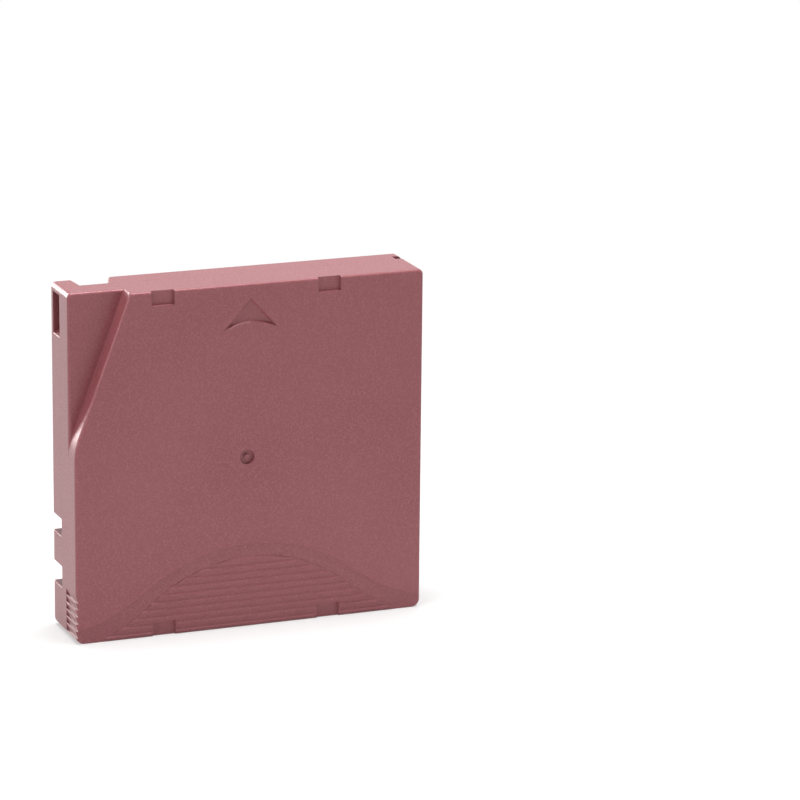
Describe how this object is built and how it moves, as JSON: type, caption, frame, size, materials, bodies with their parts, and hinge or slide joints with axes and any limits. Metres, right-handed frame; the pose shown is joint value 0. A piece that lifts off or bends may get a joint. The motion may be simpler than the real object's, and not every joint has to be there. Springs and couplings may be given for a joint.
{
  "type": "data tape cartridge",
  "caption": "Half-inch single-reel data tape cartridge in dusty rose plastic, with an insertion arrow, a ribbed thumb grip, a spring-loaded door and a toothed reel hub with its brake.",
  "frame": {"origin": "middle of the rear edge, on the plane the cartridge stands on and on the mid-plane of its thickness", "axes": "+X across the width towards the side with the access door, +Y through the thickness towards the gear side, +Z from the rear edge towards the edge that goes into a drive first"},
  "size_m": [0.1054, 0.0216, 0.102],
  "materials": {
    "shell_plastic": "fine pearl grain, dusty rose",
    "door_plastic": "smooth satin, dark rose",
    "slider_plastic": "smooth satin, pale grey",
    "reel_plastic": "natural white, satin",
    "brake_plastic": "natural white, matt",
    "clutch_plastic": "natural white, matt",
    "clamp_plastic": "black, matt",
    "tape_film": "smooth dark brown film",
    "plate_steel": "stamped, plain",
    "pin_steel": "polished",
    "spring_steel": "drawn wire and leaf",
    "screw_steel": "zinc plated",
    "board_laminate": "green solder mask",
    "chip_resin": "black potting"
  },
  "bodies": {
    "case": {"upper_shell": "shell_plastic", "lower_shell": "shell_plastic", "case_screws": "screw_steel", "door_spring": "spring_steel", "leader_pin": "pin_steel", "leader_pin_clamp": "clamp_plastic", "pin_spring_upper": "spring_steel", "pin_spring_lower": "spring_steel", "tape_leader": "tape_film", "memory_board": "board_laminate", "memory_chip": "chip_resin", "brake_spring": "spring_steel"},
    "reel": {"reel_hub": "reel_plastic", "reel_upper_flange": "reel_plastic", "reel_drive_plate": "plate_steel", "tape_pack": "tape_film"},
    "clutch": {"clutch_spider": "clutch_plastic"},
    "brake": {"brake_button": "brake_plastic"},
    "door": {"access_door": "door_plastic"},
    "write_protect": {"write_protect_slider": "slider_plastic"}
  },
  "joints": [
    {"name": "reel_spin", "type": "hinge", "parent": "case", "child": "reel", "pos_m": [-0.0011, 0, 0.051], "axis": [0, 1, 0], "continuous": true},
    {"name": "brake_lift", "type": "slide", "parent": "case", "child": "brake", "axis": [0, -1, 0], "range_m": [0, 0.0015], "stiffness_N_per_m": 700, "springref_m": -0.006, "deforming": ["brake_spring"]},
    {"name": "clutch_lift", "type": "slide", "parent": "reel", "child": "clutch", "axis": [0, -1, 0], "range_m": [0, 0.0015]},
    {"name": "door_slide", "type": "slide", "parent": "case", "child": "door", "axis": [0, 0, -1], "range_m": [0, 0.0184], "stiffness_N_per_m": 15, "springref_m": -0.02, "deforming": ["door_spring"]},
    {"name": "write_protect_slide", "type": "slide", "parent": "case", "child": "write_protect", "axis": [1, 0, 0], "range_m": [0, 0.0034]}
  ],
  "couplings": [
    {"joint": "clutch_lift", "follows": "brake_lift", "ratio": 1}
  ]
}
